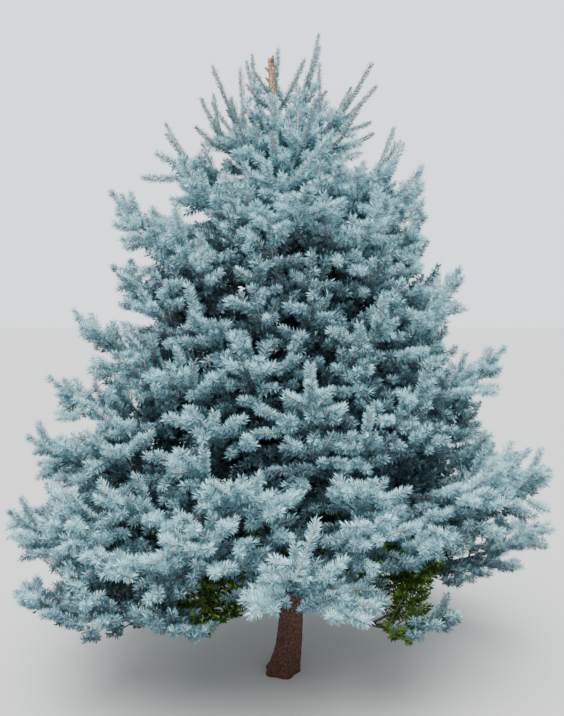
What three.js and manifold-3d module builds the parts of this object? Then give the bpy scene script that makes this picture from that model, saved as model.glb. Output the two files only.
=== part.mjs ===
// A blue spruce of garden size, rooted in the ground: a leaning, tapering trunk with a root
// flare and a bare leader, limbs in the lowest whorl, and a mass of needle foliage on every
// bough. Lengths are millimetres, angles are degrees, +Z is up, and the origin is the middle of
// the flat cut at ground level. "Share" is a place along a bough, 0 in the trunk and 1 at its tip.
import * as THREE from "three";
import { mergeVertices } from "three/addons/utils/BufferGeometryUtils.js";
import Module from "manifold-3d";

// Clearances
const SEAT_GAP = 0.3; // between a stem or limb and what carries it
const AIR_GAP = 2.5; // the least between any other two pieces

// The trunk
const TRUNK_HEIGHT = 2544;
const STEM_RADIUS = 54;
const LEADER_RADIUS = 13;
const TAPER_POWER = 0.9;
const FLARE_RADIUS = 19; // what the root flare adds at the ground
const FLARE_HEIGHT = 75;
const FLARE_LOBES = 5;
const FLARE_LOBE_DEPTH = 0.16;
const LEAN_OUT = 45; // the foot leans to the right this far
const LEAN_HEIGHT = 120;
const LEAN_BACK = 89; // and the top comes back past the middle
const SWAY_BACK = 18;
const TRUNK_SIDES = 12;
const TRUNK_RINGS = 14;
const TRUNK_RING_POWER = 1.6; // the rings lie closer together near the ground

// The whorls from the lowest up, each with the height where its boughs leave the trunk, and for
// each bough the plan angle, the reach of its tip and the height of its tip. A plan angle of 0 is
// to the right and 270 is towards the viewer
const WHORLS = [
  {
    name: "skirt",
    height: 385,
    hasLimbs: true,
    tips: [[205, 1090, 505], [240, 880, 545], [320, 810, 445], [8, 1190, 560], [100, 1030, 580]],
  },
  {
    name: "low",
    height: 580,
    tips: [
      [197, 1110, 765], [229, 960, 740], [272, 1000, 815], [312, 860, 790], [347, 1090, 905],
      [45, 1050, 800], [140, 1080, 830],
    ],
  },
  {
    name: "wide",
    height: 790,
    tips: [
      [190, 1050, 1025], [226, 900, 930], [260, 880, 1010], [298, 680, 1120], [342, 1010, 1000],
      [28, 920, 1040], [100, 960, 1050],
    ],
  },
  {
    name: "middle",
    height: 1010,
    tips: [
      [190, 960, 1260], [232, 680, 1350], [279, 650, 1290], [320, 720, 1270], [355, 930, 1370],
      [62, 840, 1330], [132, 880, 1330],
    ],
  },
  {
    name: "upper",
    height: 1240,
    tips: [
      [188, 860, 1520], [234, 570, 1510], [308, 600, 1510], [337, 700, 1530], [12, 810, 1700],
      [65, 720, 1560], [125, 740, 1580],
    ],
  },
  {
    name: "high",
    height: 1470,
    tips: [
      [188, 700, 1690], [222, 540, 1800], [265, 450, 1840], [314, 520, 1890], [5, 610, 1900],
      [75, 620, 1850], [130, 640, 1860],
    ],
  },
  {
    name: "crown",
    height: 1710,
    tips: [
      [181, 710, 1990], [240, 420, 2000], [280, 500, 1940], [330, 440, 2060], [14, 640, 2050],
      [90, 500, 2080],
    ],
  },
  {
    name: "spire",
    height: 1930,
    tips: [[172, 480, 2250], [262, 270, 2150], [355, 470, 2160], [80, 320, 2330]],
  },
  {
    name: "leader",
    height: 2140,
    tips: [[205, 290, 2420], [150, 165, 2500], [335, 370, 2410], [20, 155, 2588]],
  },
];
const WHORL_STAGGER = 30; // they leave the trunk this far below and above it by turns
const WHORL_SPREAD = 10;

// How a bough curves and tapers, in shares of its length
const BOUGH_RADIUS_SHARE = 0.0165; // at the trunk
const BOUGH_TIP_RADIUS = 6;
const SAG_SHARE = 0.08; // below the straight line to its tip
const SAG_POWER = 1.3; // the lowest place lies nearer to the tip than to the trunk
const BOW_SHARE = 0.04; // sideways, either way
const LIMB_END_SHARE = 0.32; // where a limb ends and its foliage begins
const LIMB_SIDES = 6;
const LIMB_RINGS = 6;

// The dense heart of a mass, a ragged flattened spindle that its stem swells into
const HEART_START_SHARE = 0.14; // on a stem that grows from the trunk
const HEART_AFTER_LIMB = 0.03; // and this far past the end of a limb
const HEART_END_SHARE = 0.9;
const HEART_WIDTH_SHARE = 0.095; // half its width
const HEART_WIDTH_MOST = 85;
const HEART_FLATNESS = 0.62;
const HEART_SWELL_POWER = 0.8; // it is thickest nearer to its stem
const HEART_SIDES = 5;
const HEART_RINGS = 3;
const HEART_RAGGED = 0.35; // each corner is drawn in or out up to this much
const SLIMMER_TRIES = [1, 0.8, 0.6, 0.4, 0]; // a heart that meets another piece is tried slimmer

// How twigs branch from the stem of a mass
const FIRST_TWIG_SHARE = 0.36; // on a stem that grows from the trunk
const FIRST_TWIG_AFTER_LIMB = 0.12;
const LAST_TWIG_SHARE = 0.88;
const TWIG_STEP = 72; // along the stem, from one twig to the next
const TWIGS_LEAST = 4;
const TWIG_SIDES = [-1, 1, 0]; // left, right, and one that stands up
const TWIG_ANGLE_INNER = 66;
const TWIG_ANGLE_OUTER = 36;
const TWIG_ANGLE_SPREAD = 7;
const TWIG_RISE = 4;
const TWIG_RISE_SPREAD = 18;
const TWIG_LENGTH_SHARE = 0.4; // of what is left of the bough beyond it
const TWIG_LENGTH_LEAST = 120;
const TWIG_LENGTH_SPREAD = 0.15;
const ERECT_LENGTH = 150;
const ERECT_LEAN = 0.55; // how far it leans along the stem, against its rise
const ERECT_SIDE_LEAN = 0.1;
const TIP_LENGTH = 190;
const SHORTER_TRIES = [1, 0.78, 0.6]; // a spray that meets another piece is tried shorter

// A spray: a slim three-sided core with barbs of needles that stand out of it
const SPRAY_SIDES = 3;
const SPRAY_ROOT = 4; // its root starts this far behind the stem's middle
const SPRAY_RADIUS_SHARE = 0.26; // of its length
const SPRAY_RADIUS_LEAST = 34;
const SPRAY_RADIUS_MOST = 85;
const SPRAY_FLATNESS = 0.6; // its thickness against its width
const BARB_SHARE = 0.45; // of its length, where the barbs' points lie
const BARB_LENGTH_SHARE = 0.05;
const BARB_NECK = 0.6; // the core's radius ahead of the barbs, against theirs

// Each bough draws its curve, its twigs and its heart from seeds of its own
const TWIG_SEEDS = 100;
const HEART_SEEDS = 300;
const SEED_STEP = 7919;
const MULTIPLIER = 16807;
const MODULUS = 2147483647;

const radians = THREE.MathUtils.degToRad;
const between = (low, high, share) => low + (high - low) * share;
const UP = new THREE.Vector3(0, 0, 1);

// The minimal standard generator, as draws from 0 to 1
function seeded(seed) {
  let state = 1 + seed * SEED_STEP;
  const draw = () => {
    state = (state * MULTIPLIER) % MODULUS;
    return state / MODULUS;
  };
  draw();
  return draw;
}

function trunkMiddle(height) {
  const share = height / TRUNK_HEIGHT;
  return new THREE.Vector3(
    LEAN_OUT * (1 - Math.exp(-height / LEAN_HEIGHT)) - LEAN_BACK * share * share,
    SWAY_BACK * Math.sin(Math.PI * share),
    height,
  );
}

function trunkRadius(height) {
  const left = Math.max(0, 1 - height / TRUNK_HEIGHT);
  const taper = LEADER_RADIUS + (STEM_RADIUS - LEADER_RADIUS) * left ** TAPER_POWER;
  return taper + FLARE_RADIUS * Math.exp(-height / FLARE_HEIGHT);
}

// A point of a bough's middle line, which sags and bows between the trunk and its tip
function boughPoint(bough, share) {
  return new THREE.Vector3()
    .lerpVectors(bough.start, bough.tip, share)
    .addScaledVector(UP, -bough.sag * Math.sin(Math.PI * Math.max(0, share) ** SAG_POWER))
    .addScaledVector(bough.side, bough.bow * Math.sin(Math.PI * share));
}

// The bough's own directions at a share: along it, level across it, and over it
function boughAxes(bough, share) {
  const STEP = 0.01;
  const heading = boughPoint(bough, share + STEP).sub(boughPoint(bough, share - STEP)).normalize();
  const across = new THREE.Vector3().crossVectors(UP, heading).normalize();
  const over = new THREE.Vector3().crossVectors(heading, across);
  return { heading, across, over };
}

function boughRadius(bough, share) {
  return between(BOUGH_RADIUS_SHARE * bough.length, BOUGH_TIP_RADIUS, share);
}

function makeBough(whorl, index, seed) {
  const [planAngle, reach, tipHeight] = whorl.tips[index];
  const draw = seeded(seed);
  const out = new THREE.Vector3(Math.cos(radians(planAngle)), Math.sin(radians(planAngle)), 0);
  const stagger = index % 2 ? WHORL_STAGGER : -WHORL_STAGGER;
  const start = trunkMiddle(whorl.height + stagger + WHORL_SPREAD * between(-1, 1, draw()));
  const tip = out.clone().multiplyScalar(reach).setZ(tipHeight);
  const length = start.distanceTo(tip);
  return {
    name: `${whorl.name}_${index + 1}`,
    seed,
    length,
    start,
    tip,
    side: new THREE.Vector3(-out.y, out.x, 0),
    sag: SAG_SHARE * length * between(0.6, 1.3, draw()),
    bow: BOW_SHARE * length * between(-1, 1, draw()),
    hasLimb: Boolean(whorl.hasLimbs),
    stemShare: whorl.hasLimbs ? LIMB_END_SHARE + SEAT_GAP / length : 0,
    heartShare: whorl.hasLimbs ? LIMB_END_SHARE + HEART_AFTER_LIMB : HEART_START_SHARE,
    firstTwigShare: whorl.hasLimbs ? LIMB_END_SHARE + FIRST_TWIG_AFTER_LIMB : FIRST_TWIG_SHARE,
  };
}

function makeBoughs() {
  const boughs = [];
  for (const whorl of WHORLS) {
    whorl.tips.forEach((tip, index) => boughs.push(makeBough(whorl, index, boughs.length + 1)));
  }
  return boughs;
}

// One side twig or erect shoot, with its root, heading and length
function makeTwig(bough, share, along, side, draw) {
  const { heading, across, over } = boughAxes(bough, share);
  const spread = between(-1, 1, draw());
  const rise = radians(TWIG_RISE + TWIG_RISE_SPREAD * between(-1, 1, draw()));
  const longer = 1 + TWIG_LENGTH_SPREAD * between(-1, 1, draw());
  const root = boughPoint(bough, share);
  if (side === 0) {
    const upright = heading
      .multiplyScalar(ERECT_LEAN)
      .addScaledVector(across, ERECT_SIDE_LEAN * spread)
      .add(UP);
    return { along, root, heading: upright.normalize(), length: ERECT_LENGTH * longer };
  }
  const angle = radians(between(TWIG_ANGLE_INNER, TWIG_ANGLE_OUTER, along) + TWIG_ANGLE_SPREAD * spread);
  const outward = heading
    .multiplyScalar(Math.cos(angle) * Math.cos(rise))
    .addScaledVector(across, side * Math.sin(angle) * Math.cos(rise))
    .addScaledVector(over, Math.sin(rise));
  const length = TWIG_LENGTH_LEAST + TWIG_LENGTH_SHARE * (1 - share) * bough.length;
  return { along, root, heading: outward.normalize(), length: length * longer };
}

// All twigs of one bough, and the shoot that carries on past the end of its stem
function makeTwigs(bough) {
  const draw = seeded(bough.seed + TWIG_SEEDS);
  const run = (LAST_TWIG_SHARE - bough.firstTwigShare) * bough.length;
  const count = Math.max(TWIGS_LEAST, Math.round(run / TWIG_STEP) + 1);
  const twigs = [];
  for (let index = 0; index < count; index += 1) {
    const along = index / (count - 1);
    const share = between(bough.firstTwigShare, LAST_TWIG_SHARE, along);
    twigs.push(makeTwig(bough, share, along, TWIG_SIDES[index % TWIG_SIDES.length], draw));
  }
  const root = boughPoint(bough, 1 - TIP_LENGTH / bough.length);
  const heading = bough.tip.clone().sub(root).normalize();
  twigs.push({ along: 1.1, root, heading, length: TIP_LENGTH });
  return twigs;
}

// A lathed shape whose length runs along +Z, from a profile of [radius, place along]
function turned(profile, sides) {
  const points = profile.map(([radius, along]) => new THREE.Vector2(radius, along));
  return new THREE.LatheGeometry(points, sides).rotateX(Math.PI / 2);
}

// Bends a shape whose length is a share of the bough onto the bough's middle line
function bendOntoBough(bough, geometry) {
  const place = geometry.attributes.position;
  for (let i = 0; i < place.count; i += 1) {
    const share = place.getZ(i);
    const { across, over } = boughAxes(bough, share);
    const point = boughPoint(bough, share)
      .addScaledVector(across, place.getX(i))
      .addScaledVector(over, place.getY(i));
    place.setXYZ(i, point.x, point.y, point.z);
  }
  return geometry;
}

// The bare part of a bough, a tapering limb from the trunk to where its foliage begins
function limbGeometry(bough) {
  const profile = [[0, 0]];
  for (let ring = 0; ring <= LIMB_RINGS; ring += 1) {
    const share = LIMB_END_SHARE * (ring / LIMB_RINGS);
    profile.push([boughRadius(bough, share), share]);
  }
  profile.push([0, LIMB_END_SHARE]);
  return bendOntoBough(bough, turned(profile, LIMB_SIDES));
}

// The stem of a mass and the dense heart it swells into, with ragged corners
function heartGeometry(bough, slimmer) {
  const { stemShare, heartShare } = bough;
  const width = slimmer * Math.min(HEART_WIDTH_MOST, HEART_WIDTH_SHARE * bough.length);
  const stemRadius = boughRadius(bough, heartShare);
  const profile = [[0, stemShare], [stemRadius, stemShare], [stemRadius, heartShare]];
  for (let ring = 1; ring <= HEART_RINGS; ring += 1) {
    const along = ring / (HEART_RINGS + 1);
    const swell = Math.sin(Math.PI * along ** HEART_SWELL_POWER);
    profile.push([stemRadius + width * swell, between(heartShare, HEART_END_SHARE, along)]);
  }
  profile.push([0, HEART_END_SHARE]);

  const geometry = turned(profile, HEART_SIDES);
  const draw = seeded(bough.seed + HEART_SEEDS);
  const drawOut = () => 1 + HEART_RAGGED * between(-1, 1, draw());
  const corners = Array.from({ length: HEART_SIDES * profile.length }, drawOut);
  const place = geometry.attributes.position;
  for (let i = 0; i < place.count; i += 1) {
    const out = corners[i % corners.length];
    const flatness = place.getZ(i) > heartShare ? HEART_FLATNESS : 1;
    place.setX(i, place.getX(i) * out);
    place.setY(i, place.getY(i) * out * flatness);
  }
  return bendOntoBough(bough, geometry);
}

// The trunk along its own lean. A swelling grows it evenly, for cutting seats clear of it
function trunkGeometry(swelling) {
  const profile = [[0, 0]];
  for (let ring = 0; ring <= TRUNK_RINGS; ring += 1) {
    const height = TRUNK_HEIGHT * (ring / TRUNK_RINGS) ** TRUNK_RING_POWER;
    profile.push([trunkRadius(height) + swelling, height]);
  }
  profile.push([0, TRUNK_HEIGHT]);
  const geometry = turned(profile, TRUNK_SIDES);
  const place = geometry.attributes.position;
  for (let i = 0; i < place.count; i += 1) {
    const height = place.getZ(i);
    const middle = trunkMiddle(height);
    const turn = Math.atan2(place.getY(i), place.getX(i));
    const lobe = FLARE_LOBE_DEPTH * Math.exp(-height / FLARE_HEIGHT) * Math.cos(FLARE_LOBES * turn);
    place.setX(i, middle.x + place.getX(i) * (1 + lobe));
    place.setY(i, middle.y + place.getY(i) * (1 + lobe));
  }
  return geometry;
}

// A spray with its root in the stem, lying flat along its heading
function sprayGeometry(root, heading, length) {
  const share = SPRAY_RADIUS_SHARE * length;
  const radius = THREE.MathUtils.clamp(share, SPRAY_RADIUS_LEAST, SPRAY_RADIUS_MOST);
  const profile = [
    [0, -SPRAY_ROOT],
    [radius, BARB_SHARE * length],
    [BARB_NECK * radius, (BARB_SHARE - BARB_LENGTH_SHARE) * length],
    [0, length],
  ];
  const geometry = turned(profile, SPRAY_SIDES);
  geometry.rotateZ(Math.PI);
  geometry.scale(1, SPRAY_FLATNESS, 1);
  const across = new THREE.Vector3().crossVectors(UP, heading).normalize();
  const over = new THREE.Vector3().crossVectors(heading, across);
  return geometry.applyMatrix4(new THREE.Matrix4().makeBasis(across, over, heading).setPosition(root));
}

const wasm = await Module();
wasm.setup();

// A closed geometry as a solid that can be joined and cut
function toSolid(geometry) {
  geometry.deleteAttribute("normal");
  geometry.deleteAttribute("uv");
  const merged = mergeVertices(geometry, 1e-3);
  return new wasm.Manifold(
    new wasm.Mesh({
      numProp: 3,
      vertProperties: new Float32Array(merged.attributes.position.array),
      triVerts: new Uint32Array(merged.index.array),
    }),
  );
}

// The main body of a solid as a geometry: a hollow that joining sealed is filled, and a loose
// scrap is dropped
function toGeometry(solid) {
  const bodies = solid.decompose().sort((a, b) => b.volume() - a.volume());
  const mesh = bodies[0].getMesh();
  const geometry = new THREE.BufferGeometry();
  geometry.setAttribute("position", new THREE.BufferAttribute(new Float32Array(mesh.vertProperties), 3));
  geometry.setIndex(new THREE.BufferAttribute(new Uint32Array(mesh.triVerts), 1));
  geometry.computeVertexNormals();
  return geometry;
}

// All the solids that stand so far, each with its owner, so that a mass keeps to its own space
const standing = [];

function stand(owner, solid) {
  standing.push({ owner, solid, box: solid.boundingBox() });
}

function boxesNear(a, b) {
  const nearAlong = (axis) => a.min[axis] - AIR_GAP < b.max[axis] && b.min[axis] - AIR_GAP < a.max[axis];
  return [0, 1, 2].every(nearAlong);
}

function isClear(solid, ownPieces) {
  const box = solid.boundingBox();
  const others = standing.filter((piece) => !ownPieces.includes(piece.owner) && boxesNear(box, piece.box));
  return others.every((piece) => solid.minGap(piece.solid, AIR_GAP) >= AIR_GAP);
}

// The heart of a mass, as wide as there is room for. Its stem is seated on the trunk or on the
// end of its limb, so those two are not in its way
function growHeart(bough, trunkSeat) {
  const seats = ["trunk", `bough_${bough.name}`];
  const makeHeart = (slimmer) => toSolid(heartGeometry(bough, slimmer)).subtract(trunkSeat);
  const hearts = SLIMMER_TRIES.map(makeHeart);
  const heart = hearts.find((solid) => isClear(solid, seats)) ?? hearts.at(-1);
  stand(bough.name, heart);
  return heart;
}

// A spray, shortened where it has to be. One that still meets another piece is left out
function growSpray(bough, twig) {
  for (const shorter of SHORTER_TRIES) {
    const solid = toSolid(sprayGeometry(twig.root, twig.heading, twig.length * shorter));
    if (isClear(solid, [bough.name])) {
      stand(bough.name, solid);
      return [solid];
    }
  }
  return [];
}

const BARK = { name: "bark", color: 0x5a3a2c, roughness: 0.9, metalness: 0 };
const FROST = { name: "frost", color: 0x8fa9b4, roughness: 0.7, metalness: 0 };
const bark = new THREE.MeshStandardMaterial(BARK);
const frost = new THREE.MeshStandardMaterial(FROST);

function addPiece(tree, name, solid, material) {
  const piece = new THREE.Mesh(toGeometry(solid), material);
  piece.name = name;
  tree.add(piece);
}

function growTree() {
  const tree = new THREE.Group();
  const trunk = toSolid(trunkGeometry(0));
  const trunkSeat = toSolid(trunkGeometry(SEAT_GAP));
  stand("trunk", trunk);
  addPiece(tree, "trunk", trunk, bark);

  const boughs = makeBoughs();
  for (const bough of boughs.filter(({ hasLimb }) => hasLimb)) {
    const limb = toSolid(limbGeometry(bough)).subtract(trunkSeat);
    stand(`bough_${bough.name}`, limb);
    addPiece(tree, `bough_${bough.name}`, limb, bark);
  }
  const masses = new Map(boughs.map((bough) => [bough, [growHeart(bough, trunkSeat)]]));

  // The twigs furthest out are grown first, so that the outline of the crown is kept
  const growing = boughs.flatMap((bough) => makeTwigs(bough).map((twig) => ({ bough, twig })));
  growing.sort((a, b) => b.twig.along - a.twig.along);
  for (const { bough, twig } of growing) {
    masses.get(bough).push(...growSpray(bough, twig));
  }
  for (const [bough, solids] of masses) {
    addPiece(tree, `foliage_${bough.name}`, wasm.Manifold.union(solids), frost);
  }
  return tree;
}

export default growTree();
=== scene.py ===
import math
from itertools import product
from types import SimpleNamespace

import bmesh
import bpy
import numpy as np
from mathutils import Matrix, Vector, noise


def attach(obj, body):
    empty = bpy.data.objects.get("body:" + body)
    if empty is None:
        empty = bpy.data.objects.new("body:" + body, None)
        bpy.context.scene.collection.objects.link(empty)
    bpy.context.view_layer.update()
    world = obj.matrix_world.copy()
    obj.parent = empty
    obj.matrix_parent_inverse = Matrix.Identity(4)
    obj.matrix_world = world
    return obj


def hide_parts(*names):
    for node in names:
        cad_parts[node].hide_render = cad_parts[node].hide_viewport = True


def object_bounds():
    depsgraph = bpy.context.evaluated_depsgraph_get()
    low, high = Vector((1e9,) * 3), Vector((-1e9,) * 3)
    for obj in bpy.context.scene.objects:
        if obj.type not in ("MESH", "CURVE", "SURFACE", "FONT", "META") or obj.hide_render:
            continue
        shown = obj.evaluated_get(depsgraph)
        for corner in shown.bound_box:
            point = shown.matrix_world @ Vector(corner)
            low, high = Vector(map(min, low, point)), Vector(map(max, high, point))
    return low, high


# %% [markdown]
# # A blue spruce, from its trunk to its needles
# A garden spruce is built in storeys. Each year the trunk makes one whorl of boughs, each bough makes
# side twigs, and the twigs make short shoots that carry the needles, as a bottle brush carries its
# bristles. The tree could be painted onto a few big shapes, but then its outline would be smooth.
# Here the same skeleton as in the solid model is grown again, and carried on to every needle.

# %% Load the solid model and keep its box
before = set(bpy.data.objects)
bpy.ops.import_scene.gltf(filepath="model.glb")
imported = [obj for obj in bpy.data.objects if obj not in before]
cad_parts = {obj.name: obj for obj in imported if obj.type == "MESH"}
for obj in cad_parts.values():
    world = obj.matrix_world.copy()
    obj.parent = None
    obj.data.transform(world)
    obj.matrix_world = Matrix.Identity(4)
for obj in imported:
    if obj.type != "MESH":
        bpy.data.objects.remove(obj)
SOLID_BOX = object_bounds()
NODES = sorted(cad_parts)
print("solid nodes", len(NODES), "box", [list(corner) for corner in SOLID_BOX])

# %% [markdown]
# ## The view
# The photograph was taken by somebody standing about three metres from the trunk, with the camera
# held at eye level and tipped down a little. A camera object takes its lens from the height of its
# sensor, because the picture is taller than it is wide.

# %% Camera
PICTURE_HEIGHT = 716  # pixels
FOCAL_PIXELS = 720
SENSOR_HEIGHT = 24  # mm
EYE_HEIGHT = 1.62  # metres
EYE_DISTANCE = 2.963  # metres
EYE_PITCH = 5.24  # degrees below level


def placed(name, data):
    """A new object in the scene for a mesh, a lamp or a camera."""
    thing = bpy.data.objects.new(name, data)
    bpy.context.collection.objects.link(thing)
    return thing


def add_camera():
    lens = bpy.data.cameras.new("eye level camera")
    lens.sensor_fit = "VERTICAL"
    lens.sensor_height = SENSOR_HEIGHT
    lens.lens = SENSOR_HEIGHT * FOCAL_PIXELS / PICTURE_HEIGHT
    camera = placed("eye level camera", lens)
    camera.location = (0, -EYE_DISTANCE, EYE_HEIGHT)
    camera.rotation_euler = (math.radians(90 - EYE_PITCH), 0, 0)
    bpy.context.scene.camera = camera
    return camera


camera = add_camera()
print("camera at", [round(value, 3) for value in camera.location])

# %% [markdown]
# ## The growing rule
# Only the tips of the boughs and a few long shoots are listed. The rest comes from a small
# generator of numbers that gives the same draws on every run, so the tree that grows here has the
# trunk, boughs and side twigs of the solid model, each in its own place. Lengths are in millimetres
# until a mesh is made.

# %% Draws that can be repeated
MM = 0.001
UP = Vector((0, 0, 1))


def between(low, high, share):
    return low + (high - low) * share


def seeded(seed):
    """The minimal standard generator, as draws from 0 to 1."""
    state = 1 + seed * 7919

    def draw():
        nonlocal state
        state = state * 16807 % 2147483647
        return state / 2147483647

    draw()
    return draw


def spread(draw):
    """A draw from -1 to 1."""
    return between(-1, 1, draw())


first_draws = seeded(1)
print("first draws from seed 1", [round(first_draws(), 3) for _ in range(3)])

# %% The trunk's middle line and thickness
TRUNK_HEIGHT = 2544
FOOT_LEAN = 45  # to the right
TOP_LEAN = 89  # back to the left
TRUNK_BOW = 18
LEADER_RADIUS = 13
TAPER = 41
FLARE = 19
FLARE_HEIGHT = 75
LEAN_HEIGHT = 120
TAPER_POWER = 0.9


def trunk_middle(height):
    """It leans out to the right at its foot, and its top comes back past the middle."""
    share = height / TRUNK_HEIGHT
    x = FOOT_LEAN * (1 - math.exp(-height / LEAN_HEIGHT)) - TOP_LEAN * share * share
    return Vector((x, TRUNK_BOW * math.sin(math.pi * share), height))


def trunk_radius(height):
    left = max(0, 1 - height / TRUNK_HEIGHT)
    return LEADER_RADIUS + TAPER * left**TAPER_POWER + FLARE * math.exp(-height / FLARE_HEIGHT)


print("trunk thickness at the ground", round(2 * trunk_radius(0)), "mm")

# %% [markdown]
# ## The whorls
# Each row gives the height at which a whorl leaves the trunk, and for each of its boughs the plan
# angle, the reach of its tip and the height of its tip. Angle 0 is to the right, and 270 is towards
# the camera. The boughs sag between the trunk and their upturned tips.

# %% Tips of the boughs
WHORLS = {
    "skirt": (385, [(205, 1090, 505), (240, 880, 545), (320, 810, 445), (8, 1190, 560), (100, 1030, 580)]),
    "low": (580, [(197, 1110, 765), (229, 960, 740), (272, 1000, 815), (312, 860, 790), (347, 1090, 905),
                  (45, 1050, 800), (140, 1080, 830)]),
    "wide": (790, [(190, 1050, 1025), (226, 900, 930), (260, 880, 1010), (298, 680, 1120),
                   (342, 1010, 1000), (28, 920, 1040), (100, 960, 1050)]),
    "middle": (1010, [(190, 960, 1260), (232, 680, 1350), (279, 650, 1290), (320, 720, 1270),
                      (355, 930, 1370), (62, 840, 1330), (132, 880, 1330)]),
    "upper": (1240, [(188, 860, 1520), (234, 570, 1510), (308, 600, 1510), (337, 700, 1530),
                     (12, 810, 1700), (65, 720, 1560), (125, 740, 1580)]),
    "high": (1470, [(188, 700, 1690), (222, 540, 1800), (265, 450, 1840), (314, 520, 1890),
                    (5, 610, 1900), (75, 620, 1850), (130, 640, 1860)]),
    "crown": (1710, [(181, 710, 1990), (240, 420, 2000), (280, 500, 1940), (330, 440, 2060),
                     (14, 640, 2050), (90, 500, 2080)]),
    "spire": (1930, [(172, 480, 2250), (262, 270, 2150), (355, 470, 2160), (80, 320, 2330)]),
    "leader": (2140, [(205, 290, 2420), (150, 165, 2500), (335, 370, 2410), (20, 155, 2588)]),
}
print("tips", {whorl: len(tips) for whorl, (_, tips) in WHORLS.items()})

# %% Boughs
STAGGER = 30  # by turns above and below the height of the whorl
FOOT_WANDER = 10
SAG = 0.08  # of a bough's length
SAGS_VARY = (0.6, 1.3)
BOW = 0.04  # of a bough's length, sideways
TWIGS_START = {"skirt": 0.44}  # the limbs of the lowest whorl are bare for longer
USUAL_START = 0.36
TWIGS_END = {"spire": 0.74, "leader": 0.45}  # the topmost boughs end in one long bare-sided shoot
USUAL_END = 0.97
SHORTER = {"spire": 0.8, "leader": 0.6}  # of the twigs on them
FOLIAGE_END = 0.93  # of a bough's reach, because needles stand past every shoot
LOW_FOLIAGE_END = 0.97
LOWEST_SLOPE = {"skirt": 0.22, "low": -0.1}  # the lowest foliage keeps off the ground
LOWEST_ROLL = -50  # degrees by which side twigs may hang below a strong bough
LESSER_ROLL = -62  # degrees, below a lesser one


def level_heading(plan_angle):
    return Vector((math.cos(math.radians(plan_angle)), math.sin(math.radians(plan_angle)), 0))


def make_bough(whorl, node, seed, tip_place, leaves_trunk_at):
    """A bough from the trunk to a tip that is given as plan angle, reach and height."""
    plan_angle, reach, tip_height = tip_place
    draw = seeded(seed)
    out = level_heading(plan_angle)
    start = trunk_middle(leaves_trunk_at + FOOT_WANDER * spread(draw))
    tip = out * reach + UP * tip_height
    length = (tip - start).length
    return SimpleNamespace(
        whorl=whorl,
        node=node,
        seed=seed,
        plan_angle=plan_angle,
        reach=reach,
        start=start,
        tip=tip,
        length=length,
        side=Vector((-out.y, out.x, 0)),
        sag=SAG * length * between(*SAGS_VARY, draw()),
        bow=BOW * length * spread(draw),
        first=TWIGS_START.get(whorl, USUAL_START),
        last=TWIGS_END.get(whorl, USUAL_END),
        shorter=SHORTER.get(whorl, 1),
        lowest_slope=LOWEST_SLOPE.get(whorl, -1),
        foliage_end=LOW_FOLIAGE_END if whorl in LOWEST_SLOPE else FOLIAGE_END,
        lowest_roll=LOWEST_ROLL if node else LESSER_ROLL,
    )


def make_boughs():
    boughs = []
    for whorl, (height, tips) in WHORLS.items():
        for index, tip_place in enumerate(tips):
            stagger = STAGGER if index % 2 else -STAGGER
            node = f"foliage_{whorl}_{index + 1}"
            boughs.append(make_bough(whorl, node, len(boughs) + 1, tip_place, height + stagger))
    return boughs


boughs = make_boughs()
print("boughs", len(boughs), "longest", round(max(bough.length for bough in boughs)), "mm")

# %% A bough's middle line
SMALL_STEP = 0.01
SAG_POWER = 1.3  # more than 1, so the lowest place is past the middle


def bough_point(bough, share):
    """A point of the middle line, with share 0 in the trunk and 1 at the tip."""
    straight = bough.start.lerp(bough.tip, share)
    sag = bough.sag * math.sin(math.pi * max(0, share) ** SAG_POWER)
    return straight - UP * sag + bough.side * bough.bow * math.sin(math.pi * share)


def bough_axes(bough, share):
    """Along the bough, level across it, and over it."""
    heading = bough_point(bough, share + SMALL_STEP) - bough_point(bough, share - SMALL_STEP)
    heading.normalize()
    across = UP.cross(heading).normalized()
    return heading, across, heading.cross(across)


print("middle of the first bough at", [round(value) for value in bough_point(boughs[0], 0.5)], "mm")

# %% [markdown]
# ## Boughs between the boughs
# A whorl has more boughs than the seven strong ones that the solid model gives it, and lesser ones
# leave the trunk between two whorls. They keep within the outline of their stronger neighbours, and
# fill the crown from all sides. Only the front of the lowest whorl stays open, where the trunk shows,
# and to the right of it they are short, because the ground shows there.

# %% Lesser boughs
LESSER_LIFTS = {"skirt": (0.15, 0.55), "crown": (0.4,), "spire": (0.4,)}
TWO_LIFTS = (0.28, 0.62)  # of the way up to the next whorl
LESSER_REACH = 0.92  # of their neighbours' reach, so that the upper storeys stay apart
LESSER_SEEDS = 200
DEGREES_APART = {"skirt": 32}
MOST_DEGREES_APART = 45
TRUNK_IN_VIEW = (250, 310)  # plan angles
OPEN_SKIRT = (310, 355)  # plan angles at which the lowest whorl's lesser boughs are short
OPEN_REACH = 0.72


def outline_at(whorl, plan_angle):
    """The reach, tip height and trunk height of a whorl, at a plan angle between its boughs."""
    height, tips = WHORLS[whorl]
    angles, *measures = zip(*tips)
    reach, tip_height = [float(np.interp(plan_angle, angles, row, period=360)) for row in measures]
    return reach, tip_height, height


def angles_between(whorl):
    """The plan angles of the lesser boughs between a whorl's strong ones."""
    angles = sorted(angle for angle, _, _ in WHORLS[whorl][1])
    found = []
    for angle, following in zip(angles, angles[1:] + [angles[0] + 360]):
        parts = max(1, round((following - angle) / DEGREES_APART.get(whorl, MOST_DEGREES_APART))) + 1
        found += [(angle + (following - angle) * k / parts) % 360 for k in range(1, parts)]
    if whorl == "skirt":
        return [angle for angle in found if not TRUNK_IN_VIEW[0] < angle < TRUNK_IN_VIEW[1]]
    return found


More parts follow.
